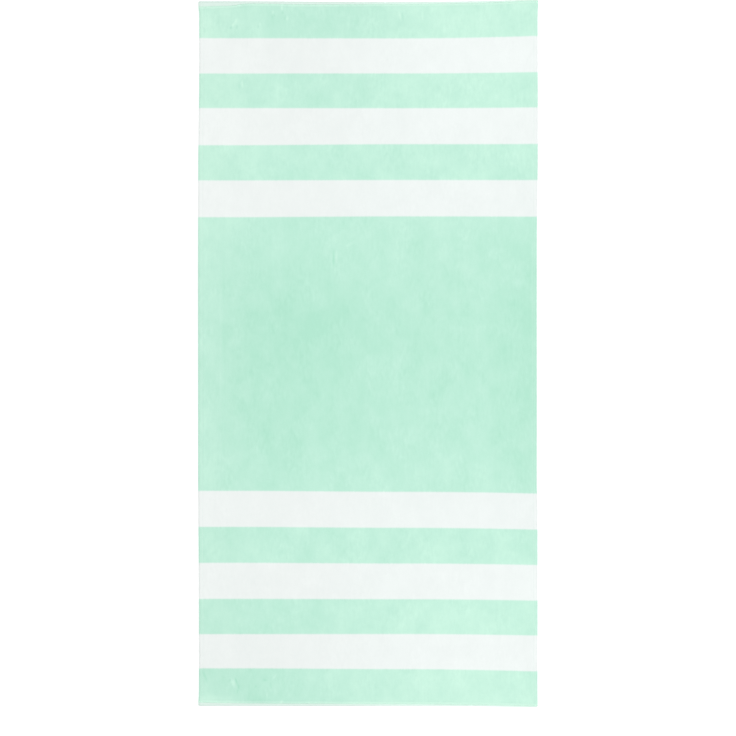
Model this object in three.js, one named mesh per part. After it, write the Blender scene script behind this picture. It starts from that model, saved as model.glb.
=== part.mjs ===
// A beach towel lying face up: one piece of cotton cloth, sheared velour above and terry loops
// below, with three white cabana stripes towards each end. Both sides are turned under and
// stitched, and both ends finish in a bare flat-woven hem.
//
// Millimetres. X runs across the towel, Y along it and Z up. The floor is Z = 0, and the origin
// is on the floor under the middle of the towel.
//
// The cloth has coordinates of its own, "across" and "along", which are its place on the loom.
// place() carries them to where the uneven, softly rippled towel really lies.

import * as THREE from "three";
import { mergeVertices } from "three/addons/utils/BufferGeometryUtils.js";

// Driving dimensions.
const towelWidth = 731;
const towelLength = 1524;
const bandLength = 78; // each stripe, and each mint band between two stripes
const bandsPerEnd = 6; // mint and white by turns, starting with mint at the end
const pileHeight = 3.2; // loops, ground weave and sheared pile together
const noseLow = { rise: 0, inset: 1.2 }; // the rounded edge, from the floor up
const noseMiddle = { rise: 0.34, inset: 0 };
const noseHigh = { rise: 0.74, inset: 0.15 };
const noseTop = { rise: 1, inset: 1 };
const cornerRadius = 5.5; // the turned corners are blunt
const bandSteps = 2; // rows of faces in one band
const fieldSteps = 20; // rows of faces in the plain middle field
const bodySteps = 24; // columns of faces between the two side hems

const halfWidth = towelWidth / 2;
const halfLength = towelLength / 2;

// Section through a side hem, from the folded edge inwards. The selvedge is turned under and
// stitched down, so the hem is thicker than the body and the stitches sink into the pile.
// "under" is how far the back of the cloth stands off the floor beside the turned layer.
const sideHem = [
  { fromEdge: 0, height: 3.1, under: 0 },
  { fromEdge: 1.6, height: 3.9, under: 0 },
  { fromEdge: 5.5, height: 4.2, under: 0 },
  { fromEdge: 8.7, height: 3.4, under: 0 },
  { fromEdge: 11.5, height: 4.1, under: 0.5 },
  { fromEdge: 19, height: 3.6, under: 0.3 },
  { fromEdge: 32, height: pileHeight, under: 0 },
  { fromEdge: 48, height: pileHeight, under: 0 },
];

// Section through an end hem. A row of faces lies "past" millimetres beyond "hems" times the
// width of the bare strip, and "drop" is how far it lies below the pile.
const endHem = [
  { hems: 0, past: 0, drop: 1.2, under: 0 },
  { hems: 0, past: 1.4, drop: 0.8, under: 0 },
  { hems: 1, past: -0.8, drop: 0.8, under: 0 },
  { hems: 1, past: 1.2, drop: 0, under: 0 },
  { hems: 1, past: 3.6, drop: 0.7, under: 0 },
  { hems: 1, past: 6.5, drop: -0.3, under: 0.4 },
  { hems: 1, past: 18, drop: 0, under: 0 },
];
const bareRows = 2; // rows of faces with no pile, counted from an end

// Width of the bare strip that shows at each end. It lies flat at the left corners and rolls
// under elsewhere.
const bareStrip = [
  { across: -366, top: 12, bottom: 13 },
  { across: -305, top: 10.5, bottom: 10 },
  { across: -255, top: 5.5, bottom: 8.5 },
  { across: -150, top: 7.5, bottom: 8 },
  { across: 70, top: 5, bottom: 7 },
  { across: 285, top: 4, bottom: 5 },
  { across: 366, top: 4, bottom: 6 },
];

// Sideways lean of the two long edges, in millimetres to the right. The folded ends of the
// bare strips stick out a little beyond the pile at the corners.
const sideLean = [
  { along: 762, left: -1.3, right: 1.8 },
  { along: 750, left: -1, right: 2.2 },
  { along: 736, left: 0.7, right: 0.9 },
  { along: 570, left: 0.7, right: 1.2 },
  { along: 418, left: -1.4, right: 1 },
  { along: 255, left: -1.5, right: -0.7 },
  { along: -270, left: -1.6, right: -1.2 },
  { along: -340, left: -1.1, right: 0.6 },
  { along: -565, left: 0.5, right: 0.8 },
  { along: -732, left: 0.2, right: 0.6 },
  { along: -754, left: -1.1, right: 0.8 },
  { along: -762, left: -1.2, right: 0.9 },
];

// How far each weft line, from the top end to the bottom one, is pulled up the towel at its
// left, middle and right. The lines are the two ends and the edges of the stripes.
const weftPull = [
  { left: -0.6, middle: -2.8, right: 2.9 },
  { left: -2.7, middle: -3.2, right: 1.8 },
  { left: -1, middle: -0.8, right: 1.8 },
  { left: 2.3, middle: 2.1, right: 3.6 },
  { left: 0.1, middle: 2.3, right: 2.7 },
  { left: 2.1, middle: 3, right: 2.8 },
  { left: 0.6, middle: 2.4, right: 1.7 },
  { left: -2.4, middle: -4.5, right: -8 },
  { left: -2.3, middle: -4.3, right: -7.9 },
  { left: -1.9, middle: -3.4, right: -6.4 },
  { left: -1.8, middle: -2.5, right: -5.3 },
  { left: 0.1, middle: 0.3, right: -2.7 },
  { left: 4.2, middle: 2.5, right: -2.2 },
  { left: 0.6, middle: 1, right: -1.8 },
];
const pullPlaces = { left: -290, middle: 70, right: 350 };

// Where the cloth lifts off the floor: soft swells left by its folding, hems that curl, and
// slack at the corners. "turn" is in degrees, from lying along the towel.
const swells = [
  { across: -317.5, along: 0, turn: 0, sideReach: 30, endReach: 1100, lift: 0.7 },
  { across: -150, along: 40, turn: 2, sideReach: 95, endReach: 640, lift: 1.8 },
  { across: 190, along: -60, turn: -3, sideReach: 90, endReach: 430, lift: 1.4 },
  { across: -368, along: 120, turn: 0, sideReach: 52, endReach: 380, lift: 2 },
  { across: -368, along: -560, turn: 0, sideReach: 42, endReach: 130, lift: 1.3 },
  { across: 368, along: 430, turn: 0, sideReach: 55, endReach: 190, lift: 1.9 },
  { across: 368, along: -170, turn: 0, sideReach: 60, endReach: 270, lift: 2.4 },
  { across: 80, along: 764, turn: 90, sideReach: 40, endReach: 240, lift: 1.7 },
  { across: -60, along: -764, turn: 90, sideReach: 40, endReach: 200, lift: 1.5 },
  { across: 280, along: 650, turn: 40, sideReach: 48, endReach: 160, lift: 1.3 },
  { across: 250, along: -640, turn: -35, sideReach: 46, endReach: 150, lift: 1.2 },
];

const mint = new THREE.Color(0xc2efdb);
const white = new THREE.Color(0xf1f7f5);
const bareMint = new THREE.Color(0xddf2e8);

const mix = THREE.MathUtils.lerp;
const ease = (t) => THREE.MathUtils.smoothstep(t, 0, 1);
const swell = (t) => (Math.abs(t) < 1 ? (1 + Math.cos(Math.PI * t)) / 2 : 0);

// A column of a table at a place between its rows, which run up or down in "key".
function between(table, key, column, at) {
  const isRising = table[0][key] < table[table.length - 1][key];
  const ordered = isRising ? table : [...table].reverse();
  const next = ordered.findIndex((row) => row[key] >= at);
  if (next === 0) return ordered[0][column];
  if (next < 0) return ordered[ordered.length - 1][column];
  const low = ordered[next - 1];
  const high = ordered[next];
  return mix(low[column], high[column], (at - low[key]) / (high[key] - low[key]));
}

// The weft lines' own places on the loom, in the order of weftPull.
const topLines = Array.from({ length: bandsPerEnd + 1 }, (_, n) => halfLength - n * bandLength);
const weftLines = [...topLines, ...topLines.map((along) => -along).reverse()].map(
  (along, n) => ({ along, ...weftPull[n] }),
);

function pullAt(across, along) {
  const [left, middle, right] = ["left", "middle", "right"].map((column) =>
    between(weftLines, "along", column, along),
  );
  if (across < pullPlaces.middle) {
    const t = (across - pullPlaces.left) / (pullPlaces.middle - pullPlaces.left);
    return mix(left, middle, ease(t));
  }
  const t = (across - pullPlaces.middle) / (pullPlaces.right - pullPlaces.middle);
  return mix(middle, right, Math.min(t, 1) ** 2);
}

function leanAt(across, along) {
  const left = between(sideLean, "along", "left", along);
  const right = between(sideLean, "along", "right", along);
  return mix(left, right, across / towelWidth + 0.5);
}

function liftAt(across, along) {
  return swells.reduce((sum, s) => {
    const turn = THREE.MathUtils.degToRad(s.turn);
    const dx = across - s.across;
    const dy = along - s.along;
    const sideways = dx * Math.cos(turn) + dy * Math.sin(turn);
    const lengthways = dy * Math.cos(turn) - dx * Math.sin(turn);
    return sum + s.lift * swell(sideways / s.sideReach) * swell(lengthways / s.endReach);
  }, 0);
}

// A square corner's cloth, drawn in to arcs about the point that lies cornerRadius from both
// edges.
function roundCorner(across, along) {
  const dx = Math.max(0, cornerRadius - halfWidth + Math.abs(across));
  const dy = Math.max(0, cornerRadius - halfLength + Math.abs(along));
  const drawnIn = dx > 0 && dy > 0 ? 1 - Math.max(dx, dy) / Math.hypot(dx, dy) : 0;
  return [across - Math.sign(across) * dx * drawnIn, along - Math.sign(along) * dy * drawnIn];
}

// Columns of vertices, from the left edge to the right one.
const hemColumns = sideHem.map((row) => row.fromEdge - halfWidth);
const bodyEdge = hemColumns[hemColumns.length - 1];
const bodyColumns = Array.from({ length: bodySteps - 1 }, (_, n) =>
  mix(bodyEdge, -bodyEdge, (n + 1) / bodySteps),
);
const columns = [...hemColumns, ...bodyColumns, ...hemColumns.map((x) => -x).reverse()];

// Rows of vertices from the top end to the middle field, and its mirror image for the other
// end. The first rows follow the bare strip, and the rest lie on or between the weft lines.
const endRows = endHem.map((row, n) => ({ ...row, isHem: true, isBare: n < bareRows }));
const bandRows = Array.from({ length: bandsPerEnd * bandSteps }, (_, n) => ({
  fromEnd: ((n + 1) * bandLength) / bandSteps,
}));
const fieldRows = Array.from({ length: fieldSteps - 1 }, (_, n) => ({
  along: mix(weftLines[bandsPerEnd].along, -weftLines[bandsPerEnd].along, (n + 1) / fieldSteps),
}));
const topRows = [...endRows, ...bandRows].map((row) => ({ ...row, end: "top" }));
const bottomRows = topRows.map((row) => ({ ...row, end: "bottom" })).reverse();
const rows = [...topRows, ...fieldRows, ...bottomRows];

function alongOf(row, across) {
  if (!row.end) return row.along;
  const fromEnd = row.isHem
    ? row.past + row.hems * between(bareStrip, "across", row.end, across)
    : row.fromEnd;
  return row.end === "top" ? halfLength - fromEnd : fromEnd - halfLength;
}

// The towel's blank is a box of unit cells. A vertex's column, row and layer say which part of
// the cloth it is.
const layers = [noseLow, noseMiddle, noseHigh, noseTop];
const cells = [columns.length - 1, rows.length - 1, layers.length - 1];

function stepsOf(corner) {
  const steps = [corner.x + cells[0] / 2, cells[1] / 2 - corner.y, corner.z + cells[2] / 2];
  return steps.map(Math.round);
}

function place([column, rowNumber, layerNumber]) {
  const row = rows[rowNumber];
  const layer = layers[layerNumber];
  const fromSide = halfWidth - Math.abs(columns[column]);
  const [across, along] = roundCorner(columns[column], alongOf(row, columns[column]));
  const height = between(sideHem, "fromEdge", "height", fromSide) - (row.drop ?? 0);
  const under = between(sideHem, "fromEdge", "under", fromSide) + (row.under ?? 0);
  const onSide = column === 0 || column === cells[0];
  const onEnd = rowNumber === 0 || rowNumber === cells[1];
  const bottom = liftAt(across, along) + under;
  return [
    across + leanAt(across, along) - (onSide ? Math.sign(across) * layer.inset : 0),
    along + pullAt(across, along) - (onEnd ? Math.sign(along) * layer.inset : 0),
    bottom + layer.rise * (height - under),
  ];
}

// Colour of the faces between a row of vertices and the next row down the towel.
function colourOf(rowNumber) {
  const above = rows[rowNumber];
  const below = rows[rowNumber + 1];
  if ((above.isBare && above.end === "top") || (below.isBare && below.end === "bottom")) {
    return bareMint;
  }
  const middle = (alongOf(above, 0) + alongOf(below, 0)) / 2;
  const band = Math.floor((halfLength - Math.abs(middle)) / bandLength);
  return band < bandsPerEnd && band % 2 === 1 ? white : mint;
}

// A copy of the cloth whose faces have their stripe's colour. "rowNumbers" says which row each
// vertex stands on.
function paint(cloth, rowNumbers) {
  const corners = [...cloth.index.array];
  const colours = new Float32Array(corners.length * 3);
  corners.forEach((_, n) => {
    const face = corners.slice(n - (n % 3), n - (n % 3) + 3);
    const firstRow = Math.min(...face.map((corner) => rowNumbers[corner]), cells[1] - 1);
    colourOf(firstRow).toArray(colours, n * 3);
  });
  const painted = cloth.toNonIndexed();
  painted.setAttribute("color", new THREE.BufferAttribute(colours, 3));
  return mergeVertices(painted);
}

function makeTowel() {
  const blank = new THREE.BoxGeometry(...cells, ...cells);
  blank.deleteAttribute("normal");
  blank.deleteAttribute("uv");
  const cloth = mergeVertices(blank);
  const points = cloth.getAttribute("position");
  const steps = Array.from({ length: points.count }, (_, n) =>
    stepsOf(new THREE.Vector3().fromBufferAttribute(points, n)),
  );
  steps.forEach((step, n) => points.setXYZ(n, ...place(step)));
  cloth.computeBoundingBox();
  const middle = cloth.boundingBox.getCenter(new THREE.Vector3());
  cloth.translate(-middle.x, -middle.y, -cloth.boundingBox.min.z);
  cloth.computeVertexNormals();
  const towel = new THREE.Mesh(
    paint(cloth, steps.map((step) => step[1])),
    new THREE.MeshStandardMaterial({ vertexColors: true, roughness: 0.95, metalness: 0 }),
  );
  towel.name = "towel";
  return towel;
}

const beachTowel = new THREE.Group();
beachTowel.add(makeTowel());

export default beachTowel;
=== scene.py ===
import math
import random

import bmesh
import bpy
from mathutils import Matrix, Vector, noise


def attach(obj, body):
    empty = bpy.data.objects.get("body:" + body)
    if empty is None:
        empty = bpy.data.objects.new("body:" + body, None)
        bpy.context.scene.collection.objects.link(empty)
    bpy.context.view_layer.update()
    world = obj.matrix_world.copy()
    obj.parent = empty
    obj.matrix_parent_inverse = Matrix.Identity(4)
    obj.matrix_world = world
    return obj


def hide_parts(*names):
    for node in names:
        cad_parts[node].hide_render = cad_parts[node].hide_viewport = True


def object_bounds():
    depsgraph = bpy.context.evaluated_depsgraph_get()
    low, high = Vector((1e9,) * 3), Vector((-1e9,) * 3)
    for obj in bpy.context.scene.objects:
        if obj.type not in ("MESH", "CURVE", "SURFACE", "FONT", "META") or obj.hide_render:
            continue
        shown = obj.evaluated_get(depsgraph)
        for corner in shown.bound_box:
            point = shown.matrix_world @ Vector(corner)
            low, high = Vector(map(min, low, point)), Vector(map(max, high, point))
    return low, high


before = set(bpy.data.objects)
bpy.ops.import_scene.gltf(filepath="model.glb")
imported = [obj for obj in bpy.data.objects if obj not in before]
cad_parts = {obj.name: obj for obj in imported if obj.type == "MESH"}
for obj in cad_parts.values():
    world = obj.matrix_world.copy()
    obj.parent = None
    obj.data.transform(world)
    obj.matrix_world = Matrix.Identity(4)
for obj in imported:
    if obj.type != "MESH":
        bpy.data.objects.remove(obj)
cadLow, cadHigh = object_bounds()
print("frame loaded, the part's box is", [round(size, 4) for size in cadHigh - cadLow])

mm = 0.001
random.seed(7)


# The cloth is worked out flat, as it came off the loom, in millimetres from its middle.
# "across" runs to the right and "along" runs up. Then it is laid down, unevenly.

towel = {
    "width": 731,
    "length": 1524,
    "band": 78,  # each stripe, and each mint band between two stripes
    "bandsPerEnd": 6,  # mint and white by turns, starting with mint at the end
    "pile": 3.2,  # loops, ground weave and sheared pile together
    "nose": 2.1,  # how far the rounded side edges curve in at their top and bottom
    "corner": 2.6,  # radius of the blunt corners
}
halfWidth = towel["width"] / 2
halfLength = towel["length"] / 2

# section through a side hem, from the folded edge inwards
sideHem = [
    dict(fromEdge=0, height=3.4, under=0),
    dict(fromEdge=2.3, height=3.9, under=0),
    dict(fromEdge=5.5, height=4.2, under=0),
    dict(fromEdge=8.7, height=3.8, under=0),
    dict(fromEdge=10.6, height=3.9, under=0),
    dict(fromEdge=11.6, height=4, under=0.6),
    dict(fromEdge=19, height=3.6, under=0.3),
    dict(fromEdge=32, height=3.2, under=0),
]

# section through an end hem, at "hems" times the bare strip's width and "past" more from the end
endHem = [
    dict(hems=0, past=0, drop=1.2, under=0),
    dict(hems=0, past=1.4, drop=0.8, under=0),
    dict(hems=1, past=-1.2, drop=0.8, under=0),
    dict(hems=1, past=1.6, drop=0.1, under=0),
    dict(hems=1, past=3.6, drop=0.4, under=0),
    dict(hems=1, past=5.6, drop=-0.1, under=0),
    dict(hems=1, past=6.6, drop=-0.2, under=0.5),
    dict(hems=1, past=18, drop=0, under=0),
]

# width of the bare strip that shows at each end, and how far the fold of its hem curves in
bareStrip = [
    dict(across=-366, top=12, bottom=8, nose=2.1),
    dict(across=-305, top=10.5, bottom=6.6, nose=2.1),
    dict(across=-255, top=5.5, bottom=6, nose=2),
    dict(across=-150, top=6.5, bottom=5.5, nose=1.8),
    dict(across=70, top=4.6, bottom=4.5, nose=1.3),
    dict(across=210, top=4.2, bottom=3.8, nose=1.1),
    dict(across=366, top=3.2, bottom=3.2, nose=1.1),
]

# how far the two long edges lean to the right
sideLean = [
    dict(along=-762, left=-1.2, right=0.9),
    dict(along=-754, left=-1.1, right=0.8),
    dict(along=-732, left=0.2, right=0.6),
    dict(along=-565, left=0.5, right=0.8),
    dict(along=-340, left=-1.1, right=0.6),
    dict(along=-270, left=-1.6, right=-1.2),
    dict(along=255, left=-1.5, right=-0.7),
    dict(along=418, left=-1.4, right=1),
    dict(along=570, left=0.7, right=1.2),
    dict(along=736, left=0.7, right=0.9),
    dict(along=750, left=-1, right=2.2),
    dict(along=762, left=-1.3, right=1.8),
]

# how far each weft line is pulled up the towel, from the bottom end to the top one
weftPull = [
    dict(left=0.6, middle=1, right=-1.8),
    dict(left=4.2, middle=2.5, right=-2.2),
    dict(left=0.1, middle=0.3, right=-2.7),
    dict(left=-1.8, middle=-2.5, right=-5.3),
    dict(left=-1.9, middle=-3.4, right=-6.4),
    dict(left=-2.3, middle=-4.3, right=-7.9),
    dict(left=-2.4, middle=-4.5, right=-8),
    dict(left=0.6, middle=2.4, right=1.7),
    dict(left=2.1, middle=3, right=2.8),
    dict(left=0.1, middle=2.3, right=2.7),
    dict(left=2.3, middle=2.1, right=3.6),
    dict(left=-1, middle=-0.8, right=1.8),
    dict(left=-2.7, middle=-3.2, right=1.8),
    dict(left=-0.6, middle=-2.8, right=2.9),
]
pullPlaces = dict(left=-290, middle=70, right=350)

# where the cloth lifts off the floor; "turn" is in degrees, from lying along the towel
swells = [
    dict(across=-317.5, along=0, turn=0, sideReach=30, endReach=1100, lift=0.7),
    dict(across=-150, along=40, turn=2, sideReach=95, endReach=640, lift=1.8),
    dict(across=190, along=-60, turn=-3, sideReach=90, endReach=430, lift=1.4),
    dict(across=-368, along=120, turn=0, sideReach=52, endReach=380, lift=2),
    dict(across=-368, along=-560, turn=0, sideReach=42, endReach=130, lift=1.3),
    dict(across=368, along=430, turn=0, sideReach=55, endReach=190, lift=1.9),
    dict(across=368, along=-170, turn=0, sideReach=60, endReach=270, lift=2.4),
    dict(across=80, along=764, turn=90, sideReach=40, endReach=240, lift=1.7),
    dict(across=-60, along=-764, turn=90, sideReach=40, endReach=200, lift=1.5),
    dict(across=280, along=650, turn=40, sideReach=48, endReach=160, lift=1.3),
    dict(across=250, along=-640, turn=-35, sideReach=46, endReach=150, lift=1.2),
]

# small creases and ridges in the velour face alone
creases = [
    dict(across=-73, along=205, turn=0, sideReach=9, endReach=34, lift=-0.5),
    dict(across=-286, along=-714, turn=22, sideReach=9, endReach=24, lift=-0.6),
    dict(across=-354, along=-693, turn=25, sideReach=8, endReach=22, lift=-0.6),
    dict(across=-291, along=-724, turn=10, sideReach=10, endReach=16, lift=0.5),
    dict(across=-212, along=-722, turn=4, sideReach=9, endReach=16, lift=-0.4),
    dict(across=-272, along=582, turn=3, sideReach=9, endReach=18, lift=0.4),
    dict(across=-290, along=716, turn=-14, sideReach=8, endReach=18, lift=0.4),
    dict(across=-302, along=716, turn=14, sideReach=8, endReach=18, lift=0.4),
]

# how uneven the sheared face is
pileGrain = {
    "depth": 0.14,
    "sideways": 7,  # size of its largest bumps
    "lengthways": 22,
    "octaves": 3,  # each half as large as the one before
    "fade": 12,  # how far from the edges it reaches its full depth
}

# painted highlight: the cut tips of the pile, splayed over the bare strips, catch the light, so the pile is
# painted paler along its rim
rimHighlight = {
    "past": 1.0,
    "reach": 5.0,
    "shade": 1.2,
}

# painted light and shade on the pile: paler where the laid pile shows sheen and where the light falls
# stronger, at the ends and on the right, deeper in the dimmer middle; "shade" is 1 where it looks palest and
# -1 where deepest
napAndLightMarks = [
    dict(across=-175, along=5, turn=0, sideReach=270, endReach=400, shade=-1.05),
    dict(across=-120, along=60, turn=90, sideReach=90, endReach=290, shade=-0.35),
    dict(across=-230, along=-200, turn=0, sideReach=120, endReach=170, shade=-0.3),
    dict(across=-80, along=40, turn=0, sideReach=110, endReach=200, shade=-0.25),
    dict(across=-60, along=-180, turn=0, sideReach=130, endReach=90, shade=-0.25),
    dict(across=130, along=0, turn=0, sideReach=240, endReach=370, shade=-0.7),
    dict(across=345, along=0, turn=0, sideReach=150, endReach=430, shade=-1.05),
    dict(across=340, along=-40, turn=0, sideReach=60, endReach=120, shade=0.25),
    dict(across=-350, along=0, turn=0, sideReach=62, endReach=1500, shade=0.3),
    dict(across=-366, along=560, turn=0, sideReach=280, endReach=520, shade=0.65),
    dict(across=230, along=760, turn=0, sideReach=400, endReach=600, shade=0.95),
    dict(across=230, along=-760, turn=0, sideReach=420, endReach=600, shade=0.95),
    dict(across=-240, along=-740, turn=0, sideReach=150, endReach=300, shade=-0.45),
    dict(across=-60, along=740, turn=90, sideReach=90, endReach=280, shade=-0.25),
    dict(across=-350, along=-747, turn=0, sideReach=80, endReach=13, shade=0.7),
    dict(across=-345, along=720, turn=0, sideReach=38, endReach=50, shade=0.55),
    dict(across=-345, along=268, turn=0, sideReach=38, endReach=40, shade=0.35),
    dict(across=-287, along=-230, turn=0, sideReach=48, endReach=42, shade=0.6),
    dict(across=-158, along=-176, turn=0, sideReach=50, endReach=48, shade=-0.4),
    dict(across=37, along=-176, turn=0, sideReach=48, endReach=45, shade=-0.3),
    dict(across=335, along=-230, turn=0, sideReach=48, endReach=52, shade=-0.4),
]


def mix(a, b, share):
    return a + (b - a) * share


def ease(share):
    share = min(max(share, 0), 1)
    return share * share * (3 - 2 * share)


def hump(share):
    return (1 + math.cos(math.pi * share)) / 2 if abs(share) < 1 else 0


# a table's column at a place between its rows, which rise in "key"
def between(table, key, column, place, soft=False):
    if place <= table[0][key]:
        return table[0][column]
    for low, high in zip(table, table[1:]):
        if place <= high[key]:
            share = (place - low[key]) / (high[key] - low[key])
            return mix(low[column], high[column], ease(share) if soft else share)
    return table[-1][column]


# the sum of the marks of a table at a place, each a soft hump
def marksAt(table, column, across, along):
    total = 0
    for mark in table:
        turn = math.radians(mark["turn"])
        dx = across - mark["across"]
        dy = along - mark["along"]
        sideways = dx * math.cos(turn) + dy * math.sin(turn)
        lengthways = dy * math.cos(turn) - dx * math.sin(turn)
        if abs(sideways) < mark["sideReach"] and abs(lengthways) < mark["endReach"]:
            total += mark[column] * hump(sideways / mark["sideReach"]) * hump(lengthways / mark["endReach"])
    return total


endLines = [halfLength - towel["band"] * n for n in range(towel["bandsPerEnd"] + 1)]
weftLines = [
    dict(along=along, **pull)
    for along, pull in zip([-line for line in endLines] + endLines[::-1], weftPull)
]


def pullAt(across, along):
    left, middle, right = [between(weftLines, "along", column, along) for column in pullPlaces]
    if across < pullPlaces["middle"]:
        share = (across - pullPlaces["left"]) / (pullPlaces["middle"] - pullPlaces["left"])
        return mix(left, middle, ease(share))
    share = (across - pullPlaces["middle"]) / (pullPlaces["right"] - pullPlaces["middle"])
    return mix(middle, right, min(share, 1) ** 2)


def leanAt(across, along):
    left = between(sideLean, "along", "left", along)
    right = between(sideLean, "along", "right", along)
    return mix(left, right, across / towel["width"] + 0.5)


def roundCorner(across, along):
    dx = max(0, towel["corner"] - halfWidth + abs(across))
    dy = max(0, towel["corner"] - halfLength + abs(along))
    drawnIn = 1 - max(dx, dy) / math.hypot(dx, dy) if dx and dy else 0
    return (
        across - math.copysign(dx * drawnIn, across),
        along - math.copysign(dy * drawnIn, along),
    )


# painted light and shade on the pile where it lies: the sheen of the laid pile and the light's brighter and
# dimmer patches, from the marks, and a painted highlight on its cut rim
def shadeAt(across, along):
    fromRim = halfLength - abs(along) - bareAt(across, along) - rimHighlight["past"]
    return marksAt(napAndLightMarks, "shade", across, along) + rimHighlight["shade"] * hump(fromRim / rimHighlight["reach"])


# the end hem's section, in millimetres from the end, where the bare strip is this wide
def endSection(bare):
    return [
        dict(fromEnd=row["hems"] * bare + row["past"], drop=row["drop"], under=row["under"])
        for row in endHem
    ]


def bareAt(across, along):
    return between(bareStrip, "across", "top" if along > 0 else "bottom", across, soft=True)


def noseAt(across):
    return between(bareStrip, "across", "nose", across, soft=True)


# where a point of the flat cloth lies: its place, and the heights of its back and its face
def layDown(across, along):
    fromSide = halfWidth - abs(across)
    section = endSection(bareAt(across, along))
    drop = between(section, "fromEnd", "drop", halfLength - abs(along), soft=True)
    height = between(sideHem, "fromEdge", "height", fromSide, soft=True) - drop
    under = between(sideHem, "fromEdge", "under", fromSide, soft=True)
    under += between(section, "fromEnd", "under", halfLength - abs(along), soft=True)
    across, along = roundCorner(across, along)
    lift = marksAt(swells, "lift", across, along)
    x = across + leanAt(across, along)
    y = along + pullAt(across, along)
    return x, y, lift + under, lift + height


# The sheet: a grid of cells that are small at the hems, with a second skin for its back.
# A row lies "noses" times the fold's curve, "hems" times the bare strip and "past" more from the end.

sheetGrid = {
    "hemColumns": [0, 2.4, 2.9, 3.6, 4.5, 5.5, 6.7, 7.7, 8.7, 9.7, 10.6, 11.6, 13, 15, 18, 21.5, 26, 32],
    "bodyColumns": 112,
    "hemRows": [
        dict(noses=0, hems=0, past=0),
        dict(noses=1, hems=0, past=0.2),
        dict(noses=0.85, hems=0.15, past=0),
        dict(noses=0.6, hems=0.4, past=-0.36),
        dict(noses=0.25, hems=0.75, past=-0.85),
        dict(noses=0, hems=1, past=-1.2),
        dict(noses=0, hems=1, past=-0.5),
        dict(noses=0, hems=1, past=0.2),
        dict(noses=0, hems=1, past=0.9),
        dict(noses=0, hems=1, past=1.7),
        dict(noses=0, hems=1, past=3.6),
        dict(noses=0, hems=1, past=4.7),
        dict(noses=0, hems=1, past=5.6),
        dict(noses=0, hems=1, past=6.6),
        dict(noses=0, hems=1, past=9),
        dict(noses=0, hems=1, past=13),
        dict(noses=0, hems=1, past=18),
    ],
    "bodyStart": 36,  # the first even row's distance from the end
    "bodyStep": 6,
    "noseRings": 6,
    "foldLength": 5,  # of the cloth round an edge, from its face to its back
    "bareRows": 6,  # rows of cells of the bare strip
    "turnedRows": 12,  # rows of cells under the turned-in end
    "turnedColumns": 10,  # columns of cells under the turned-in side
}

leftColumns = [place - halfWidth for place in sheetGrid["hemColumns"]]
bodyColumns = [
    mix(leftColumns[-1], -leftColumns[-1], n / sheetGrid["bodyColumns"])
    for n in range(1, sheetGrid["bodyColumns"])
]
columns = leftColumns + bodyColumns + [-place for place in leftColumns[::-1]]

bodyRows = round((halfLength - sheetGrid["bodyStart"]) / sheetGrid["bodyStep"])
halfRows = sheetGrid["hemRows"] + [
    dict(noses=0, hems=0, past=sheetGrid["bodyStart"] + sheetGrid["bodyStep"] * n)
    for n in range(bodyRows + 1)
]
rows = [dict(end=-1, **row) for row in halfRows] + [dict(end=1, **row) for row in halfRows[-2::-1]]


def rowAlong(row, across):
    fromEnd = row["noses"] * noseAt(across) + row["hems"] * bareAt(across, row["end"]) + row["past"]
    return row["end"] * (halfLength - fromEnd)


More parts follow.
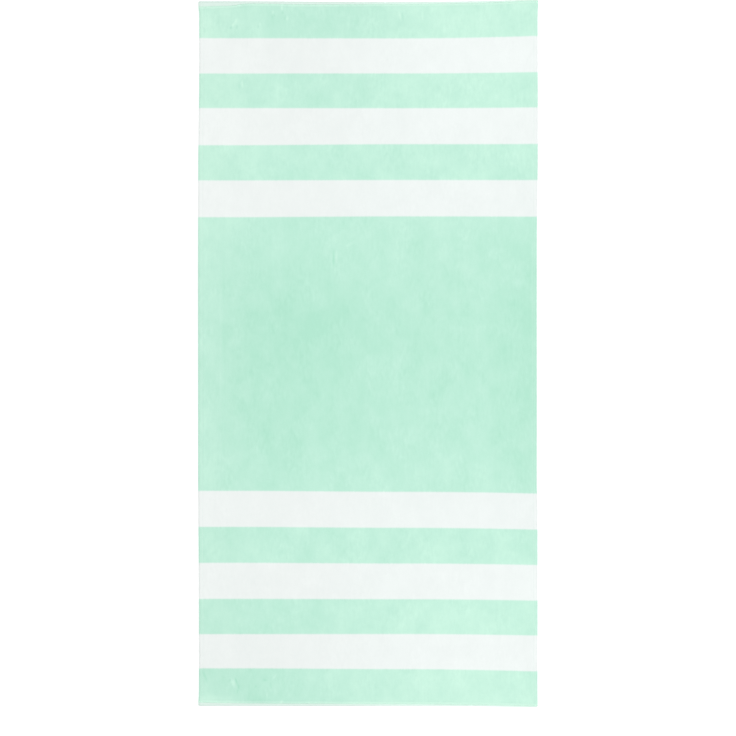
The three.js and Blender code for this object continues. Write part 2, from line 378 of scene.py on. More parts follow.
def makeSheet():
    bm = bmesh.new()
    lastColumn = len(columns) - 1
    lastRow = len(rows) - 1
    bmesh.ops.create_grid(bm, x_segments=lastColumn, y_segments=lastRow, size=0.5)
    extruded = bmesh.ops.extrude_face_region(bm, geom=bm.faces[:])
    backVerts = [part for part in extruded["geom"] if isinstance(part, bmesh.types.BMVert)]
    bmesh.ops.translate(bm, verts=backVerts, vec=(0, 0, -1))
    edgeWalls = [edge for edge in bm.edges if edge.verts[0].co.z != edge.verts[1].co.z]
    bmesh.ops.subdivide_edges(bm, edges=edgeWalls, cuts=sheetGrid["noseRings"])
    bmesh.ops.recalc_face_normals(bm, faces=bm.faces[:])

    loom = bm.loops.layers.uv.new("loom")
    napAndLight = bm.verts.layers.float.new("napAndLight")
    cells = {}
    flat = {}
    laid = {}
    for vert in bm.verts:
        column = round((vert.co.x + 0.5) * lastColumn)
        row = round((vert.co.y + 0.5) * lastRow)
        across = columns[column]
        along = rowAlong(rows[row], across)
        if (column, row) not in laid:
            laid[column, row] = layDown(across, along) + (shadeAt(across, along),)
        x, y, back, face, shade = laid[column, row]
        turn = (0.5 + vert.co.z) * math.pi  # a quarter turn up at the face, down at the back
        inset = 1 - math.cos(turn)
        if column in (0, lastColumn):
            x -= math.copysign(towel["nose"] * inset, across)
        if row in (0, lastRow):
            y -= math.copysign(noseAt(across) * inset, along)
        rise = 0.5 + 0.5 * math.sin(turn)
        z = mix(back, face, rise)
        if vert.co.z == 0:
            inwards = min(halfWidth - abs(across), halfLength - abs(along)) / pileGrain["fade"]
            place = Vector((across / pileGrain["sideways"], along / pileGrain["lengthways"], 0))
            grain = noise.fractal(place, 1, 2, pileGrain["octaves"])
            z += pileGrain["depth"] * grain * ease(inwards) + marksAt(creases, "lift", across, along)
        cells[vert] = (column, row, vert.co.z)
        flat[vert] = (across * mm, along * mm)
        vert.co = (x, y, z)
        # painted light and shade, kept on each point for the materials
        vert[napAndLight] = shade

    for face in bm.faces:
        face.smooth = True
        column = sum(cells[vert][0] for vert in face.verts) / len(face.verts)
        row = sum(cells[vert][1] for vert in face.verts) / len(face.verts)
        depth = sum(cells[vert][2] for vert in face.verts) / len(face.verts)
        columnIn = min(column, lastColumn - column)
        rowIn = min(row, lastRow - row)
        isBack = depth < -0.5
        isWall = -0.99 < depth < -0.01
        if isBack:
            isTurned = columnIn < sheetGrid["turnedColumns"] or rowIn < sheetGrid["turnedRows"]
            face.material_index = 1 if isTurned else 2
        else:
            face.material_index = 1 if rowIn < sheetGrid["bareRows"] else 0
        for loop in face.loops:
            x, y = flat[loop.vert]
            if isWall:
                fold = cells[loop.vert][2] * sheetGrid["foldLength"] * mm
                if columnIn == 0:
                    x += math.copysign(fold, x)
                else:
                    y += math.copysign(fold, y)
            loop[loom].uv = (x, y)
    return bm


# Every piece is made in the cloth's millimetres, then moved into the part's frame.

def centreOf(bm):
    low = Vector(min(vert.co[axis] for vert in bm.verts) for axis in range(3))
    high = Vector(max(vert.co[axis] for vert in bm.verts) for axis in range(3))
    return Vector(((low.x + high.x) / 2, (low.y + high.y) / 2, low.z))


def toObject(bm, name, shift, materials):
    bmesh.ops.translate(bm, verts=bm.verts, vec=shift)
    bmesh.ops.scale(bm, verts=bm.verts, vec=(mm, mm, mm))
    mesh = bpy.data.meshes.new(name)
    bm.to_mesh(mesh)
    bm.free()
    piece = bpy.data.objects.new(name, mesh)
    bpy.context.scene.collection.objects.link(piece)
    for material in materials:
        mesh.materials.append(material)
    return piece


# Short ways to add and join nodes.

def addNode(tree, kind, values=None, **settings):
    node = tree.nodes.new(kind)
    for name, value in settings.items():
        setattr(node, name, value)
    for name, value in (values or {}).items():
        if isinstance(value, bpy.types.NodeSocket):
            tree.links.new(value, node.inputs[name])
        else:
            node.inputs[name].default_value = value
    return node


def maths(tree, operation, *values):
    return addNode(tree, "ShaderNodeMath", dict(enumerate(values)), operation=operation).outputs[0]


def mixColour(tree, share, a, b, blend="MIX"):
    values = {0: share, 6: a, 7: b}
    return addNode(tree, "ShaderNodeMix", values, data_type="RGBA", blend_type=blend).outputs[2]


def remap(tree, value, fromLow, fromHigh, toLow=0.0, toHigh=1.0, kind="LINEAR"):
    values = {"Value": value, "From Min": fromLow, "From Max": fromHigh, "To Min": toLow, "To Max": toHigh}
    return addNode(tree, "ShaderNodeMapRange", values, interpolation_type=kind).outputs["Result"]


def stretched(tree, vector, perMetre):
    return addNode(tree, "ShaderNodeMapping", {"Vector": vector, "Scale": perMetre}).outputs["Vector"]


def cloud(tree, vector, perMetre, detail, roughness=0.5):
    values = {
        "Vector": stretched(tree, vector, perMetre),
        "Scale": 1,
        "Detail": detail,
        "Roughness": roughness,
    }
    return addNode(tree, "ShaderNodeTexNoise", values).outputs["Fac"]


# a colour that turns into another from left to right
def colourAcross(tree, loom, left, right, places):
    across = addNode(tree, "ShaderNodeSeparateXYZ", {"Vector": loom}).outputs["X"]
    return mixColour(tree, remap(tree, across, *places, 0.0, 1.0, "SMOOTHSTEP"), left, right)


# round tufts packed side by side, 1 in their middles and 0 between them
def packed(tree, vector, perMetre, unevenness):
    values = {"Vector": stretched(tree, vector, perMetre), "Scale": 1, "Randomness": unevenness}
    away = addNode(tree, "ShaderNodeTexVoronoi", values, feature="F1").outputs["Distance"]
    return remap(tree, away, 0, 0.8, 1.0, 0.0)


def newGroup(name, inputs, outputs):
    tree = bpy.data.node_groups.new(name, "ShaderNodeTree")
    for label, kind, value in inputs:
        socket = tree.interface.new_socket(name=label, in_out="INPUT", socket_type=kind)
        if value is not None:
            socket.default_value = value
    for label, kind in outputs:
        tree.interface.new_socket(name=label, in_out="OUTPUT", socket_type=kind)
    return tree, tree.nodes.new("NodeGroupInput").outputs, tree.nodes.new("NodeGroupOutput").inputs


def useGroup(tree, group, values):
    return addNode(tree, "ShaderNodeGroup", values, node_tree=group).outputs


def linear(hexColour):
    channels = [int(hexColour[n:n + 2], 16) / 255 for n in (0, 2, 4)]
    return (*[c / 12.92 if c < 0.04045 else ((c + 0.055) / 1.055) ** 2.4 for c in channels], 1)


# what deeper and paler tone does to a dye, from the painted light and shade as well as the random mottle and
# streaks: white pile keeps its colour more than mint does
toneAndLightTints = {
    "deepMint": (0.834, 0.932, 0.889, 1),
    "deepWhite": (0.85, 0.88, 0.88, 1),
    "paleMint": (1.18, 1.1, 1.11, 1),
    "paleWhite": (1.18, 1.17, 1.17, 1),
    "fullShade": 1.5,  # the shade at which they reach full strength
}

clothColours = {
    "mint": linear("bce8d5"),
    "white": linear("e8eeec"),
    "warmMint": linear("bbe6d3"),
    "warmWhite": linear("e8edeb"),
    # painted light: the tips are paler, partly their own paler look and partly to lift the shade the tufts
    # cast on themselves
    "mintTipsLit": linear("ccf1e1"),
    "whiteTipsLit": linear("f4f8f7"),
    "bareMint": linear("dbeee5"),
    # painted light: the bare strip is paler and greener at the right, lifting the shade there
    "bareLitGreen": linear("dff7ec"),
    "thread": linear("dff0e8"),
}


stripeEdge = {
    "bleed": 0.0022,  # half the width over which one dye gives way to the other, in metres
    "backBleed": 0.0012,
    "wander": 0.0012,
    "wanderSize": (500, 30, 1),  # a number per metre, across and along
}


# yarn-dyed stripes, whose edges wander by a tuft here and there
def makeStripes():
    colour, value, vector = "NodeSocketColor", "NodeSocketFloat", "NodeSocketVector"
    tree, given, result = newGroup(
        "dyed stripes",
        [
            ("Loom", vector, None),
            ("Mint", colour, clothColours["mint"]),
            ("White", colour, clothColours["white"]),
            ("Bleed", value, stripeEdge["bleed"]),
        ],
        [("Colour", colour), ("White Share", value)],
    )
    band = towel["band"] * mm
    along = addNode(tree, "ShaderNodeSeparateXYZ", {"Vector": given["Loom"]}).outputs["Y"]
    drift = cloud(tree, given["Loom"], stripeEdge["wanderSize"], 3, 0.6)
    wander = remap(tree, drift, 0, 1, -stripeEdge["wander"], stripeEdge["wander"])
    fromEnd = maths(tree, "SUBTRACT", halfLength * mm, maths(tree, "ABSOLUTE", along))
    wandered = maths(tree, "ADD", fromEnd, wander)
    pairs = maths(tree, "MULTIPLY_ADD", wandered, 1 / (2 * band), 0.25)  # mint and white together
    fromStripe = maths(tree, "MULTIPLY", maths(tree, "PINGPONG", pairs, 0.5), 2 * band)
    low = maths(tree, "SUBTRACT", band / 2, given["Bleed"])
    high = maths(tree, "ADD", band / 2, given["Bleed"])
    stripe = remap(tree, fromStripe, low, high, 1.0, 0.0, "SMOOTHSTEP")
    middle = band * (towel["bandsPerEnd"] + 1) / 2
    reach = band * towel["bandsPerEnd"] / 2
    inBands = maths(tree, "COMPARE", fromEnd, middle, reach)
    white = maths(tree, "MULTIPLY", stripe, inBands)
    tree.links.new(mixColour(tree, white, given["Mint"], given["White"]), result["Colour"])
    tree.links.new(white, result["White Share"])
    return tree


# sizes are a number per metre, across and along
pileLook = {
    "streaks": 0.9,  # strength of the short streaks
    "streakSize": (150, 62, 1),
    "clusterSize": (17, 13, 1),  # of patches where the streaks show more
    "clusterStrength": (0.6, 1.7),
    "mottle": 2.6,  # strength of the soft patches
    "mottleSize": (22, 15, 1),
    # painted shade between the tufts, lighter on their tops
    "grain": 0.07,  # how much the tufts show
    "tuftSize": (1600, 1400, 1),
    "tuftUnevenness": 0.85,
    "meanTuft": 0.36,
    "fibreSize": (4200, 3400, 1),
    "streakShadow": 0.03,
    "bumps": {"streaks": 0.5, "tufts": 0.25, "fibres": 0.2, "mean": 0.44},
    "onWhite": {"shade": 0.3, "grain": 0.4, "bumps": 0.6},  # the share of each that shows there
}


# cotton pile with random mottle and streaks, the painted light and shade it is given, and painted shade
# between its tufts
def makeNapAndLight():
    colour, value, vector = "NodeSocketColor", "NodeSocketFloat", "NodeSocketVector"
    tree, given, result = newGroup(
        "stroked pile",
        [
            ("Loom", vector, None),
            ("Colour", colour, (1, 1, 1, 1)),
            ("White Share", value, 0.0),
            ("NapAndLight", value, 0.0),
            ("Streaks", value, pileLook["streaks"]),
            ("Mottle", value, pileLook["mottle"]),
            ("TuftShade", value, pileLook["grain"]),
        ],
        [("Colour", colour), ("Height", value)],
    )
    bumps = pileLook["bumps"]
    onWhite = {
        part: remap(tree, given["White Share"], 0, 1, 1.0, share)
        for part, share in pileLook["onWhite"].items()
    }
    dashes = cloud(tree, given["Loom"], pileLook["streakSize"], 2, 0.5)
    patches = cloud(tree, given["Loom"], pileLook["clusterSize"], 2)
    clusters = remap(tree, patches, 0.4, 0.65, *pileLook["clusterStrength"], "SMOOTHSTEP")
    streaks = maths(tree, "MULTIPLY", maths(tree, "SUBTRACT", dashes, 0.5), clusters)
    mottle = maths(tree, "SUBTRACT", cloud(tree, given["Loom"], pileLook["mottleSize"], 3, 0.6), 0.5)
    tufts = packed(tree, given["Loom"], pileLook["tuftSize"], pileLook["tuftUnevenness"])
    fibres = cloud(tree, given["Loom"], pileLook["fibreSize"], 1)
    toneAndLight = maths(tree, "MULTIPLY_ADD", mottle, given["Mottle"], given["NapAndLight"])
    toneAndLight = maths(tree, "MULTIPLY_ADD", streaks, given["Streaks"], toneAndLight)
    shade = maths(tree, "MULTIPLY", toneAndLight, onWhite["shade"])
    deepTint = mixColour(tree, given["White Share"], toneAndLightTints["deepMint"], toneAndLightTints["deepWhite"])
    paleTint = mixColour(tree, given["White Share"], toneAndLightTints["paleMint"], toneAndLightTints["paleWhite"])
    deepShare = remap(tree, shade, 0, -toneAndLightTints["fullShade"])
    paleShare = remap(tree, shade, 0, toneAndLightTints["fullShade"])
    deep = mixColour(tree, deepShare, given["Colour"], deepTint, "MULTIPLY")
    pale = mixColour(tree, paleShare, deep, paleTint, "MULTIPLY")
    shown = maths(tree, "MULTIPLY", streaks, onWhite["shade"])
    shadow = maths(tree, "MULTIPLY_ADD", shown, pileLook["streakShadow"], 1.0)
    grain = maths(tree, "MULTIPLY", given["TuftShade"], onWhite["grain"])
    # painted shade: darker between the tufts and along the streaks, lighter on the tufts' tops
    cut = maths(tree, "MULTIPLY_ADD", maths(tree, "SUBTRACT", tufts, pileLook["meanTuft"]), grain, shadow)
    tree.links.new(mixColour(tree, 1.0, pale, cut, "MULTIPLY"), result["Colour"])
    height = maths(tree, "MULTIPLY", fibres, bumps["fibres"])
    height = maths(tree, "MULTIPLY_ADD", tufts, bumps["tufts"], height)
    height = maths(tree, "MULTIPLY_ADD", dashes, bumps["streaks"], height)
    height = maths(tree, "SUBTRACT", height, bumps["mean"])
    tree.links.new(maths(tree, "MULTIPLY", height, onWhite["bumps"]), result["Height"])
    return tree


weaveLook = {
    "yarns": 900,  # a metre
    "slubSize": (60, 700, 1),
    "darkest": 0.93,
    "palest": 1.03,
}


# a plain weave of fine yarn
def makeWeave():
    value, vector = "NodeSocketFloat", "NodeSocketVector"
    tree, given, result = newGroup(
        "plain weave",
        [("Loom", vector, None), ("Yarns", value, weaveLook["yarns"])],
        [("Height", value), ("Shade", value)],
    )
    place = addNode(tree, "ShaderNodeSeparateXYZ", {"Vector": given["Loom"]}).outputs
    turns = maths(tree, "MULTIPLY", given["Yarns"], math.pi)
    warp = maths(tree, "SINE", maths(tree, "MULTIPLY", place["X"], turns))
    weft = maths(tree, "SINE", maths(tree, "MULTIPLY", place["Y"], turns))
    crossing = remap(tree, maths(tree, "MULTIPLY", warp, weft), -1, 1)
    slub = cloud(tree, given["Loom"], weaveLook["slubSize"], 2)
    height = maths(tree, "MULTIPLY_ADD", slub, 0.5, maths(tree, "MULTIPLY", crossing, 0.5))
    tree.links.new(height, result["Height"])
    shade = remap(tree, height, 0.2, 0.8, weaveLook["darkest"], weaveLook["palest"])
    tree.links.new(shade, result["Shade"])
    return tree


loopLook = {
    "loops": (520, 400, 1),  # a metre, across and along
    "unevenness": 0.7,
    "darkest": 0.8,
    "palest": 1.04,
}


# the back's uncut loops, in rows
def makeLoops():
    value, vector = "NodeSocketFloat", "NodeSocketVector"
    tree, given, result = newGroup(
        "terry loops",
        [("Loom", vector, None), ("Loops", vector, loopLook["loops"])],
        [("Height", value), ("Shade", value)],
    )
    height = packed(tree, given["Loom"], given["Loops"], loopLook["unevenness"])
    tree.links.new(height, result["Height"])
    tree.links.new(remap(tree, height, 0, 1, loopLook["darkest"], loopLook["palest"]), result["Shade"])
    return tree


# painted highlights and shade of small creases and pinches in the pile, and of a long ridge near the left
# side, in millimetres on the flat cloth
creaseLightAndShade = [
    dict(across=-286, along=719, turn=-12, sideReach=4.5, endReach=9, shade=1.5),
    dict(across=-292, along=712, turn=-24, sideReach=4, endReach=7, shade=1.4),
    dict(across=-297, along=706, turn=-40, sideReach=4, endReach=6, shade=-1.4),
    dict(across=-284, along=707, turn=-10, sideReach=4, endReach=7, shade=-1.2),
    dict(across=-354, along=700, turn=0, sideReach=5, endReach=8, shade=-0.7),
    dict(across=-238, along=708, turn=0, sideReach=3, endReach=5, shade=-1.0),
    dict(across=-234, along=714, turn=0, sideReach=3, endReach=6, shade=1.0),
    dict(across=-206, along=739, turn=-15, sideReach=3.5, endReach=7, shade=1.1),
    dict(across=-203, along=732, turn=0, sideReach=3, endReach=5, shade=-0.9),
    dict(across=-207, along=728, turn=20, sideReach=4, endReach=8, shade=-0.8),
    dict(across=-186, along=748, turn=0, sideReach=4, endReach=11, shade=1.3),
    dict(across=-185, along=739, turn=0, sideReach=4, endReach=6, shade=-1.1),
    dict(across=-175, along=726, turn=-10, sideReach=5, endReach=8, shade=1.0),
    dict(across=-180, along=727, turn=-5, sideReach=3, endReach=8, shade=-0.9),
    dict(across=68, along=733, turn=12, sideReach=4, endReach=15, shade=0.9),
    dict(across=74, along=732, turn=4, sideReach=4, endReach=13, shade=-1.0),
    dict(across=117, along=733, turn=0, sideReach=4, endReach=17, shade=0.9),
    dict(across=137, along=744, turn=-8, sideReach=7, endReach=12, shade=0.6),
    dict(across=-272, along=582, turn=3, sideReach=4, endReach=13, shade=1.2),
    dict(across=-279, along=577, turn=3, sideReach=4, endReach=10, shade=-0.8),
    dict(across=-73, along=205, turn=0, sideReach=4, endReach=30, shade=-1.2),
    dict(across=-67, along=208, turn=0, sideReach=4, endReach=22, shade=0.8),
    dict(across=-36, along=236, turn=-60, sideReach=6, endReach=18, shade=0.7),
    dict(across=-291, along=-715, turn=16, sideReach=7, endReach=15, shade=1.5),
    dict(across=-285, along=-710, turn=24, sideReach=3.5, endReach=12, shade=-1.6),
    dict(across=-280, along=-722, turn=14, sideReach=3.5, endReach=9, shade=-1.4),
    dict(across=-282, along=-731, turn=-20, sideReach=3.5, endReach=7, shade=-1.0),
    dict(across=-299, along=-709, turn=-35, sideReach=3.5, endReach=7, shade=-0.8),
    dict(across=-352, along=-701, turn=22, sideReach=4.5, endReach=17, shade=-1.2),
    dict(across=-243, along=-722, turn=0, sideReach=4, endReach=6, shade=-0.9),
    dict(across=-223, along=-708, turn=80, sideReach=3.5, endReach=8, shade=-1.0),
    dict(across=-210, along=-721, turn=12, sideReach=4, endReach=10, shade=-1.1),
    dict(across=-202, along=-701, turn=-35, sideReach=4, endReach=10, shade=0.9),
    dict(across=-218, along=-738, turn=0, sideReach=4, endReach=8, shade=0.8),
    dict(across=-186, along=-753, turn=0, sideReach=6, endReach=6, shade=1.1),
    dict(across=-317, along=-20, turn=0, sideReach=4, endReach=210, shade=0.35),
    dict(across=-309, along=60, turn=0.6, sideReach=5, endReach=260, shade=-0.3),
]


# each crease gets a soft patch of painted highlight or painted shade
def makeCreaseLightAndShade():
    inputs = [("Loom", "NodeSocketVector", None)]
    tree, given, result = newGroup("creaseLightAndShade", inputs, [("Shade", "NodeSocketFloat")])
    total = 0.0
    for creaseMark in creaseLightAndShade:
        values = {
            "Vector": given["Loom"],
            "Location": (creaseMark["across"] * mm, creaseMark["along"] * mm, 0),
            "Rotation": (0, 0, math.radians(creaseMark["turn"])),
            "Scale": (creaseMark["sideReach"] * mm, creaseMark["endReach"] * mm, 1),
        }
        place = addNode(tree, "ShaderNodeMapping", values, vector_type="TEXTURE").outputs["Vector"]
        away = addNode(tree, "ShaderNodeVectorMath", {0: place}, operation="LENGTH").outputs["Value"]
        total = maths(tree, "ADD", total, remap(tree, away, 0, 1, creaseMark["shade"], 0.0, "SMOOTHSTEP"))
    tree.links.new(total, result["Shade"])
    return tree


stripesGroup = makeStripes()
creaseLightAndShadeGroup = makeCreaseLightAndShade()
napAndLightGroup = makeNapAndLight()
weaveGroup = makeWeave()
loopsGroup = makeLoops()
print("shader groups built")


def newMaterial(name, settings):
    material = bpy.data.materials.new(name)
    material.use_nodes = True
    tree = material.node_tree
    surface = tree.nodes["Principled BSDF"]
    for label, value in settings.items():
        surface.inputs[label].default_value = value
    loom = addNode(tree, "ShaderNodeUVMap", uv_map="loom").outputs["UV"]
    return material, tree, surface, loom


def finishSurface(tree, surface, colour, height, strength, depth):
    tree.links.new(colour, surface.inputs["Base Color"])
    bump = addNode(tree, "ShaderNodeBump", {"Height": height, "Strength": strength, "Distance": depth})
    tree.links.new(bump.outputs["Normal"], surface.inputs["Normal"])


velour = {
    "coolerMint": (-0.36, -0.2),  # where the dyes turn cooler, in metres from left to right
    "coolerWhite": (-0.16, 0.08),
    "surface": {"Roughness": 0.95, "Specular IOR Level": 0.15, "Sheen Weight": 0.2, "Sheen Roughness": 0.6},
    "bumpStrength": 0.45,
    "bumpDepth": 0.0006,
}


def makeVelour(name, mint, white, warmMint, warmWhite):
    material, tree, surface, loom = newMaterial(name, velour["surface"])
    mint = colourAcross(tree, loom, warmMint, mint, velour["coolerMint"])
    white = colourAcross(tree, loom, warmWhite, white, velour["coolerWhite"])
    # the painted light and shade of the laid pile, the light and the creases
    napAndLight = addNode(tree, "ShaderNodeAttribute", attribute_name="napAndLight").outputs["Fac"]
    napAndLight = maths(tree, "ADD", napAndLight, useGroup(tree, creaseLightAndShadeGroup, {"Loom": loom})["Shade"])
    stripes = useGroup(tree, stripesGroup, {"Loom": loom, "Mint": mint, "White": white})
    pile = useGroup(
        tree,
        napAndLightGroup,
        {"Loom": loom, "Colour": stripes["Colour"], "White Share": stripes["White Share"], "NapAndLight": napAndLight},
    )
    finishSurface(tree, surface, pile["Colour"], pile["Height"], velour["bumpStrength"], velour["bumpDepth"])
    return material


hemCloth = {
    "litToRight": (-0.1, 0.1),  # painted light: paler and greener from left to right, lifting the shade on the narrow strip at the right, in metres
    "surface": {"Roughness": 0.9, "Specular IOR Level": 0.2, "Sheen Weight": 0.1, "Sheen Roughness": 0.6},
    "bumpStrength": 0.5,
    "bumpDepth": 0.0003,
}


def makeHemCloth():
    material, tree, surface, loom = newMaterial("flat hem cloth", hemCloth["surface"])
    mint = colourAcross(tree, loom, clothColours["bareMint"], clothColours["bareLitGreen"], hemCloth["litToRight"])
    stripes = useGroup(tree, stripesGroup, {"Loom": loom, "Mint": mint})
    weave = useGroup(tree, weaveGroup, {"Loom": loom})
    shaded = mixColour(tree, 1.0, stripes["Colour"], weave["Shade"], "MULTIPLY")
    finishSurface(tree, surface, shaded, weave["Height"], hemCloth["bumpStrength"], hemCloth["bumpDepth"])
    return material


terry = {
    "surface": {"Roughness": 0.95, "Specular IOR Level": 0.15, "Sheen Weight": 0.2, "Sheen Roughness": 0.6},
    "bumpStrength": 0.9,
    "bumpDepth": 0.0015,
}


def makeTerry():
    material, tree, surface, loom = newMaterial("terry back", terry["surface"])
    stripes = useGroup(tree, stripesGroup, {"Loom": loom, "Bleed": stripeEdge["backBleed"]})
    loops = useGroup(tree, loopsGroup, {"Loom": loom})
    shaded = mixColour(tree, 1.0, stripes["Colour"], loops["Shade"], "MULTIPLY")
    finishSurface(tree, surface, shaded, loops["Height"], terry["bumpStrength"], terry["bumpDepth"])
    return material


threadLook = {
    "surface": {"Roughness": 0.7, "Sheen Weight": 0.1},
    "twistSize": (1500, 1500, 1),
    "darkest": 0.9,
    "palest": 1.05,
    "bumpStrength": 0.4,
    "bumpDepth": 0.0002,
}


def makeThread():
    material, tree, surface, loom = newMaterial("sewing thread", threadLook["surface"])
    twist = cloud(tree, loom, threadLook["twistSize"], 2)
    shade = remap(tree, twist, 0.2, 0.8, threadLook["darkest"], threadLook["palest"])
    shaded = mixColour(tree, 1.0, clothColours["thread"], shade, "MULTIPLY")
    finishSurface(tree, surface, shaded, twist, threadLook["bumpStrength"], threadLook["bumpDepth"])
    return material


velourMaterial = makeVelour("velour", clothColours["mint"], clothColours["white"], clothColours["warmMint"], clothColours["warmWhite"])
# a lit copy of the velour, its tips painted paler to lift the tufts' own shade
litTipsMaterial = makeVelour(
    "lit pile tips", clothColours["mintTipsLit"], clothColours["whiteTipsLit"], clothColours["mintTipsLit"], clothColours["whiteTipsLit"]
)
hemMaterial = makeHemCloth()
terryMaterial = makeTerry()
threadMaterial = makeThread()
print("materials made")

sheetMesh = makeSheet()
shift = (cadLow + cadHigh) / 2 / mm - centreOf(sheetMesh)
shift.z = cadLow.z / mm - centreOf(sheetMesh).z
sheet = toObject(sheetMesh, "velourTowel", shift, [velourMaterial, hemMaterial, terryMaterial])
print("sheet laid,", len(sheet.data.polygons), "faces, shifted by", [round(n, 2) for n in shift])


# Tufts that lean over the bare strips, where the pile ends.

pileEdge = {
    "pitch": 0.85,
    "aside": 0.35,  # how far a tuft may stand to either side of its place
    "rows": 2,
    "rowStep": 0.6,
    "inside": (0.9, 1.5),  # how far inside the pile's edge the first row stands
    "length": 2.0,
    "lengths": (0.8, 1.2),  # shortest and longest, as shares of it
    "root": 0.45,  # radii of a tuft at its root and its tip
    "tip": 0.12,
    "facets": 5,
    "rootDepth": 0.4,  # below the face
    "fromSides": 2.5,
    "lean": (66, 88),  # degrees, from upright
    "sway": 35,
}


def makePileEdge():
    bm = bmesh.new()
    loom = bm.loops.layers.uv.new("loom")
    napAndLight = bm.verts.layers.float.new("napAndLight")
    reach = halfWidth - pileEdge["fromSides"]
    count = round(2 * reach / pileEdge["pitch"])
    for end in (-1, 1):
        for n in range((count + 1) * pileEdge["rows"]):
            row, place = divmod(n, count + 1)
            across = mix(-reach, reach, place / count)
            across += random.uniform(-pileEdge["aside"], pileEdge["aside"])
            inside = random.uniform(*pileEdge["inside"]) + pileEdge["rowStep"] * row
            along = end * (halfLength - bareAt(across, end) - inside)
            x, y, back, face = layDown(across, along)
            lean = math.radians(random.uniform(*pileEdge["lean"]))
            sway = math.radians(random.uniform(-pileEdge["sway"], pileEdge["sway"]))
            length = pileEdge["length"] * random.uniform(*pileEdge["lengths"])
            upright = Matrix.Translation((0, 0, length / 2))
            turned = Matrix.Rotation(sway, 4, "Z") @ Matrix.Rotation(-lean * end, 4, "X")
            place = Matrix.Translation((x, y, face - pileEdge["rootDepth"])) @ turned @ upright
            made = bmesh.ops.create_cone(
                bm,
                cap_ends=True,
                segments=pileEdge["facets"],
                radius1=pileEdge["root"],
                radius2=pileEdge["tip"],
                depth=length,
                matrix=place,
            )
            for vert in made["verts"]:
                # each tuft carries the painted light and shade of the pile where it stands
                vert[napAndLight] = shadeAt(across, along)
            for face in {face for vert in made["verts"] for face in vert.link_faces}:
                face.smooth = True
                for loop in face.loops:
                    loop[loom].uv = (across * mm, along * mm)
    return bm


tufts = toObject(makePileEdge(), "pileEdge", shift, [litTipsMaterial])
print("pile edge made,", len(tufts.data.polygons), "faces")


# Lockstitches of the hems, on the face and on the back.

seam = {
    "pitch": 3.1,
    "stitch": 2.7,
    "thread": 0.56,  # thickness
    "fromSide": 8.7,
    "pastBare": 3.6,
    "sunk": 0.08,  # how deep the thread beds into the pile
    "wander": 0.25,
    "wanderLength": 25,
    "lowest": 0.02,  # the thread under the towel lies on the floor
}


# one straight line of stitches along X, each a slim bead
def stitchLine(length):
    bm = bmesh.new()
    slim = Matrix.Diagonal((seam["stitch"] / 2, seam["thread"] / 2, seam["thread"] / 2, 1))
    bead = bmesh.ops.create_uvsphere(bm, u_segments=6, v_segments=4, radius=1, matrix=slim)
    steps = round(length / seam["pitch"]) - 1
    geometry = bead["verts"] + list({edge for vert in bead["verts"] for edge in vert.link_edges})
    geometry += list({face for vert in bead["verts"] for face in vert.link_faces})
    bmesh.ops.spin(
        bm,
        geom=geometry,
        axis=(0, 0, 1),
        dvec=(seam["pitch"], 0, 0),
        angle=0,
        steps=steps,
        use_duplicate=True,
    )
    bmesh.ops.translate(bm, verts=bm.verts, vec=(-steps * seam["pitch"] / 2, 0, 0))
    return bm


def sewSeam(isSide, edge, onFace):
    length = (towel["length"] if isSide else towel["width"]) - 2 * seam["fromSide"]
    bm = stitchLine(length)
    loom = bm.loops.layers.uv.new("loom")
    flat = {}
    for vert in bm.verts:
        run, aside, height = vert.co
        # far enough apart that no two seams wander alike
        wanderPlace = Vector((run / seam["wanderLength"], edge * 9, isSide * 5))
        wander = seam["wander"] * noise.noise(wanderPlace)
        if isSide:
            across = edge * (halfWidth - seam["fromSide"]) - aside + wander  # turned, not mirrored
            along = run
        else:
            stitched = halfLength - bareAt(run, edge) - seam["pastBare"]
            across, along = run, edge * stitched + aside + wander
        x, y, back, face = layDown(across, along)
        z = face - seam["sunk"] + height if onFace else back + height
        flat[vert] = (across * mm, along * mm)
        vert.co = (x, y, max(z, seam["lowest"]))
    for face in bm.faces:
        face.smooth = True
        for loop in face.loops:
            loop[loom].uv = flat[loop.vert]
    return bm


def makeSeams():
    bm = bmesh.new()
    for isSide in (True, False):
        for edge in (-1, 1):
            for onFace in (True, False):
                line = sewSeam(isSide, edge, onFace)
                mesh = bpy.data.meshes.new("line")
                line.to_mesh(mesh)
                line.free()
                bm.from_mesh(mesh)
                bpy.data.meshes.remove(mesh)
    return bm


stitches = toObject(makeSeams(), "hemStitches", shift, [threadMaterial])
print("hems sewn,", len(stitches.data.polygons), "faces")


# Studio.

studio = {
    "floorSize": 60,
    "floorColour": (0.97, 0.97, 0.97, 1),
    "floorRoughness": 0.9,
    "floorDrop": 0.0004,
    "floorGlow": 0.12,  # keeps the floor paler than the cloth's own shadow on it
    "air": 0.6,  # brightness of the white room all round
}


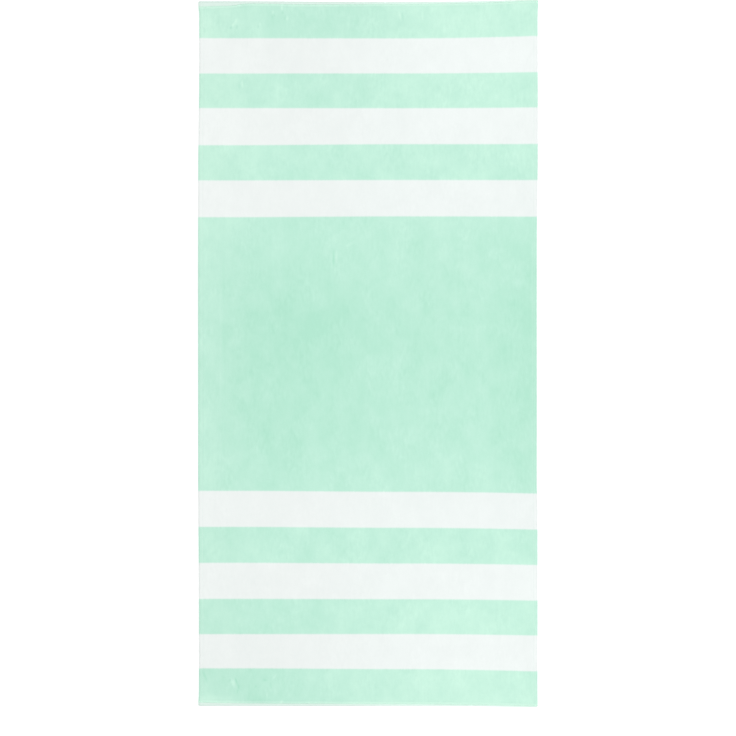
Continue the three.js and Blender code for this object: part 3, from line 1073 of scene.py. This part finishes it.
def makeFloor():
    bm = bmesh.new()
    bmesh.ops.create_grid(bm, x_segments=1, y_segments=1, size=studio["floorSize"] / 2)
    bmesh.ops.translate(bm, verts=bm.verts, vec=(0, 0, -studio["floorDrop"]))
    mesh = bpy.data.meshes.new("floor")
    bm.to_mesh(mesh)
    bm.free()
    floor = bpy.data.objects.new("floor", mesh)
    bpy.context.scene.collection.objects.link(floor)
    material = bpy.data.materials.new("paleFloor")
    material.use_nodes = True
    surface = material.node_tree.nodes["Principled BSDF"]
    surface.inputs["Base Color"].default_value = studio["floorColour"]
    surface.inputs["Roughness"].default_value = studio["floorRoughness"]
    surface.inputs["Specular IOR Level"].default_value = 0
    surface.inputs["Emission Color"].default_value = (1, 1, 1, 1)
    surface.inputs["Emission Strength"].default_value = studio["floorGlow"]
    mesh.materials.append(material)
    return floor


softLights = [
    dict(name="overhead", place=(-1.4, 0, 3.8), aim=(-0.4, 0, 0), size=3, watts=60),
    dict(name="topRight", place=(2.2, 1.6, 2.2), aim=(0.3, 0.6, 0), size=1.4, watts=20),
    dict(name="bottomRight", place=(2.2, -1.6, 2.2), aim=(0.3, -0.6, 0), size=1.4, watts=20),
]


def makeLight(name, place, aim, size, watts):
    lamp = bpy.data.lights.new(name, "AREA")
    lamp.shape = "SQUARE"
    lamp.size = size
    lamp.energy = watts
    light = bpy.data.objects.new(name, lamp)
    light.location = place
    light.rotation_euler = (Vector(aim) - Vector(place)).to_track_quat("-Z", "Y").to_euler()
    bpy.context.scene.collection.objects.link(light)


def makeAir():
    world = bpy.data.worlds.new("whiteRoom")
    bpy.context.scene.world = world
    world.use_nodes = True
    tree = world.node_tree
    tree.nodes["Background"].inputs["Strength"].default_value = studio["air"]
    tree.nodes["Background"].inputs["Color"].default_value = (1, 1, 1, 1)


view = {
    "lens": 100,
    "sensor": 36,
    "pictureWidth": 736,  # pixels
    "mmPerPixel": 2.16,
    "middleRow": 353.6,  # the pixel row that holds the towel's middle
}


def makeCamera():
    data = bpy.data.cameras.new("camera")
    data.lens = view["lens"]
    data.sensor_width = view["sensor"]
    camera = bpy.data.objects.new("camera", data)
    wide = view["pictureWidth"] * view["mmPerPixel"] * mm
    height = wide * view["lens"] / view["sensor"]
    down = (view["pictureWidth"] / 2 - view["middleRow"]) * view["mmPerPixel"] * mm
    camera.location = (shift.x * mm, shift.y * mm - down, height + towel["pile"] * mm)
    bpy.context.scene.collection.objects.link(camera)
    bpy.context.scene.camera = camera


floor = makeFloor()
for light in softLights:
    makeLight(**light)
makeAir()
makeCamera()
bpy.context.scene.view_settings.view_transform = "Standard"
print("studio lit")


# Who carries what.

for piece in (sheet, tufts, stitches):
    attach(piece, "root")
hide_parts("towel")
